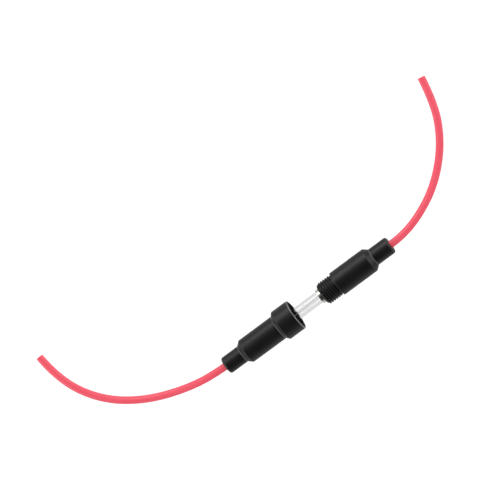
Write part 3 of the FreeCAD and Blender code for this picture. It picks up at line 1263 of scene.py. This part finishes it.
@dataclass
class GlassFuse:
    """The tube fuse: glass, two drawn end caps with solder inside, and the wire between them."""

    far_x: float
    near_x: float
    cap_radius: float = 3.0 * MM
    cap_wall: float = 0.4 * MM
    cap_length: float = 6.3 * MM
    cap_edge: float = 0.55 * MM
    rim_edge: float = 0.09 * MM
    dimple_radius: float = 0.75 * MM
    dimple_floor: float = 0.4125 * MM
    dimple_depth: float = 0.07 * MM
    dimple_edge: float = 0.225 * MM
    glass_radius: float = 2.5 * MM
    glass_wall: float = 0.55 * MM
    glass_gap: float = 0.3 * MM
    glass_edge: float = 0.2 * MM

    def cap_mesh(self, name: str, end_x: float, opens: Side) -> Mesh:
        """Make one end cap.

        Args:
            name: The mesh's name.
            end_x: Where its closed end lies.
            opens: Which way the cap opens.

        Returns:
            The cap's mesh, with the dimple that drawing left in its end.
        """
        inner = self.cap_radius - self.cap_wall
        dimple_x = end_x + opens.value * self.dimple_depth
        floor_x = end_x + opens.value * self.cap_wall
        rim_x = end_x + opens.value * self.cap_length
        corners = [
            Corner(dimple_x, 0),
            Corner(dimple_x, self.dimple_floor, self.dimple_edge),
            Corner(end_x, self.dimple_radius, self.dimple_edge),
            Corner(end_x, self.cap_radius, self.cap_edge),
            Corner(rim_x, self.cap_radius, self.rim_edge),
            Corner(rim_x, inner, self.rim_edge),
            Corner(floor_x, inner, self.cap_edge - self.cap_wall),
            Corner(floor_x, 0),
        ]
        return swept_mesh(name, axis_ring, rounded(corners), FUSE_SEGMENTS, closed=False)

    def tube_mesh(self) -> Mesh:
        """Make the glass tube with its fire-polished ends.

        Returns:
            The tube's mesh.
        """
        inner = self.glass_radius - self.glass_wall
        low_x = self.far_x + self.cap_wall + self.glass_gap
        high_x = self.near_x - self.cap_wall - self.glass_gap
        corners = [
            Corner((low_x + high_x) / 2, inner),
            Corner(low_x, inner, self.glass_edge),
            Corner(low_x, self.glass_radius, self.glass_edge),
            Corner(high_x, self.glass_radius, self.glass_edge),
            Corner(high_x, inner),
        ]
        return swept_mesh("fuse_tube", axis_ring, rounded(corners), FUSE_SEGMENTS, closed=True)

    def build(self, finishing: Finishing) -> None:
        """Make the glass and both caps, and dress the wire and the solder.

        Args:
            finishing: What adds the pieces.
        """
        finishing.add_piece(self.tube_mesh(), Body.FUSE, Slot.CLEAR_GLASS, "fuse_glass")
        for name, end_x, opens, node in (
            ("fuse_cap_near", self.near_x, Side.TOWARDS_CAP, "fuse_body_end_cap"),
            ("fuse_cap_far", self.far_x, Side.TOWARDS_BODY, "fuse_far_end_cap"),
        ):
            finishing.add_piece(self.cap_mesh(name, end_x, opens), Body.FUSE, Slot.NICKEL_PLATE, node)
        finishing.dress(Slot.FUSE_WIRE, "fuse_element")
        finishing.dress(Slot.SOLDER, "fuse_body_end_solder", "fuse_far_end_solder")


@dataclass
class PhotoCamera:
    """The photograph's view: from above with a long lens, leaning a little to the threaded body's side."""

    aim: Place = (-5.88 * MM, 35.54 * MM, AXIS_HEIGHT)
    distance: float = 1.2
    lean: float = math.radians(8.5)
    turn: float = math.radians(36.72)
    pixels_per_metre: float = 2620.0
    sensor: float = 36.0
    clip_start: float = 0.01
    clip_end: float = 100.0

    def build(self) -> None:
        """Make the camera and set it as the scene's."""
        data = bpy.data.cameras.new("photo_camera")
        data.sensor_width = self.sensor
        data.lens = self.sensor * self.pixels_per_metre * self.distance / IMAGE_SIZE
        data.clip_start = self.clip_start
        data.clip_end = self.clip_end
        turned = Matrix.Rotation(self.lean, 4, "Y") @ Matrix.Rotation(-self.turn, 4, "Z")
        away = Matrix.Translation((0.0, 0.0, self.distance))
        camera = linked("photo_camera", data)
        camera.matrix_world = Matrix.Translation(self.aim) @ turned @ away
        bpy.context.scene.camera = camera


@dataclass(frozen=True)
class Lamp:
    """One soft lamp that faces the holder, and shows in glossy surfaces where it shines."""

    name: str
    place: Place
    size: Span
    power: float
    shines: bool = True

    def hang(self) -> None:
        """Make the lamp."""
        data = bpy.data.lights.new(self.name, "AREA")
        data.shape = "RECTANGLE"
        data.size, data.size_y = self.size
        data.energy = self.power
        lamp = linked(self.name, data)
        lamp.location = self.place
        lamp.rotation_mode = "QUATERNION"
        lamp.rotation_quaternion = (-Vector(self.place)).to_track_quat("-Z", "Y")
        lamp.visible_glossy = self.shines


@dataclass
class Studio:
    """The pale floor, the soft lamps and the sky round the holder."""

    floor_size: float = 12.0
    floor_drop: float = 0.02 * MM
    floor_white: float = 0.80
    camera_glow: float = 0.60
    mirrored_floor: float = 0.62
    refracted_floor: float = 0.76
    sky_level: float = 0.70
    zenith_level: float = 0.04
    horizon_level: float = 0.85
    dark_axis: Place = (-0.02, -0.42, 0.907)
    dark_span: Span = (0.20, 0.97)
    lamps: tuple[Lamp, ...] = (
        Lamp("key_lamp", (0.10, 1.05, 0.62), (0.7, 0.7), 5.0),
        Lamp("fill_lamp", (0.25, -0.80, 0.85), (0.8, 0.8), 3.2, shines=False),
        Lamp("body_end_lamp", (1.15, 0.10, 0.46), (1.4, 0.42), 4.4),
        Lamp("cap_end_lamp", (-1.15, 0.10, 0.46), (1.4, 0.42), 5.5),
    )

    def floor(self) -> None:
        """Make the floor, which shows white and keeps a faint shadow."""
        half = self.floor_size / 2
        mesh = bpy.data.meshes.new("studio_floor")
        corners = [(-half, -half, 0), (half, -half, 0), (half, half, 0), (-half, half, 0)]
        mesh.from_pydata(corners, [], [(0, 1, 2, 3)])
        material = bpy.data.materials.new("studio_floor_white")
        material.use_nodes = True
        sheet = NodeSheet(material.node_tree)
        rays = sheet.rays()
        plain = 1.0 - (rays.mirrored + rays.refracted)
        seen = rays.camera * self.camera_glow
        glow = seen + rays.mirrored * self.mirrored_floor + rays.refracted * self.refracted_floor
        diffuse = sheet.out("ShaderNodeBsdfDiffuse", {"Color": plain * self.floor_white})
        both = {0: diffuse, 1: sheet.out("ShaderNodeEmission", {"Strength": glow})}
        sheet.add("ShaderNodeOutputMaterial", {"Surface": sheet.out("ShaderNodeAddShader", both)})
        mesh.materials.append(material)
        floor = linked("studio_floor", mesh)
        floor.location.z = -self.floor_drop

    def sky(self) -> None:
        """Make the world: even for plain light, white at the horizon and dark overhead in reflections."""
        world = bpy.data.worlds.new("studio_sky")
        bpy.context.scene.world = world
        world.use_nodes = True
        sheet = NodeSheet(world.node_tree)
        rays = sheet.rays()
        ends = {0: sheet.out("ShaderNodeTexCoord", output="Generated"), 1: self.dark_axis}
        overhead = sheet.out("ShaderNodeVectorMath", ends, "Value", operation="DOT_PRODUCT")
        shine = overhead.remap(self.dark_span, (self.horizon_level, self.zenith_level), smooth=True)
        seen = rays.camera.math("MAXIMUM", rays.refracted)
        level = seen * (1.0 - self.sky_level) + self.sky_level
        strength = (1.0 - rays.mirrored) * level + rays.mirrored * shine
        background = sheet.out("ShaderNodeBackground", {"Strength": strength})
        sheet.add("ShaderNodeOutputWorld", {"Surface": background})

    def build(self) -> None:
        """Make the floor, the sky and the lamps, and show colours as they are written."""
        self.floor()
        self.sky()
        for lamp in self.lamps:
            lamp.hang()
        bpy.context.scene.view_settings.view_transform = "Standard"


def holder_leads() -> list[Lead]:
    """Describe both leads, with their routes' corner points from the contact to the cut end.

    Returns:
        The lead of the threaded body and the lead of the cap.
    """
    axis, floor = AXIS_HEIGHT / MM, 1.52
    body_route = [
        (19.05, 0.0, axis),
        (33.35, 0.0, axis),
        (46.8, 0.0, axis),
        (59.6, 4.5, 3.0),
        (69.8, 11.4, floor),
        (78.6, 21.2, floor),
        (84.4, 33.1, floor),
        (86.3, 44.0, floor),
    ]
    cap_route = [
        (-35.65, 0.0, axis),
        (-46.6, 0.0, axis),
        (-61.3, 3.0, 2.9),
        (-74.2, 8.2, floor),
        (-84.9, 15.9, floor),
        (-92.8, 26.5, floor),
        (-96.6, 38.7, floor),
        (-97.0, 45.8, floor),
    ]
    body_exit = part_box("body_shell")[1].x
    cap_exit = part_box("cap_shell")[0].x
    return [
        Lead("body_lead", Body.SPRUNG_CONTACT, body_exit, 14.9 * MM, body_route, length=91.0 * MM),
        Lead("cap_lead", Body.CAP_CONTACT, cap_exit, -31.5 * MM, cap_route, length=86.2 * MM),
    ]


def main() -> None:
    """Build the camera, the leads, both halves, the fuse, the contacts and the studio, in that order."""
    logging.basicConfig(level=logging.INFO, format="%(name)s: %(message)s")
    body_low, body_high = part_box("body_shell")
    cap_low, cap_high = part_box("cap_shell")
    closing_travel = 19.3 * MM
    cap_ridge_x = body_low.x + ScrewThread.pitch / 2 - closing_travel

    PhotoCamera().build()
    finishing = Finishing()
    for lead in holder_leads():
        lead.build(finishing)
    ThreadedBody(mouth_x=body_low.x, end_x=body_high.x).build(finishing)
    ScrewCap(mouth_x=cap_high.x, end_x=cap_low.x, ridge_x=cap_ridge_x).build(finishing)
    GlassFuse(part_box("fuse_far_end_cap")[0].x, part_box("fuse_body_end_cap")[1].x).build(finishing)
    ContactSpring().build(finishing)
    finishing.dress(Slot.PLATED_CONTACT, "body_contact", "cap_contact")
    finishing.dress(Slot.SOLDER, "body_solder", "cap_solder")
    Studio().build()


if __name__ == "__main__":
    main()
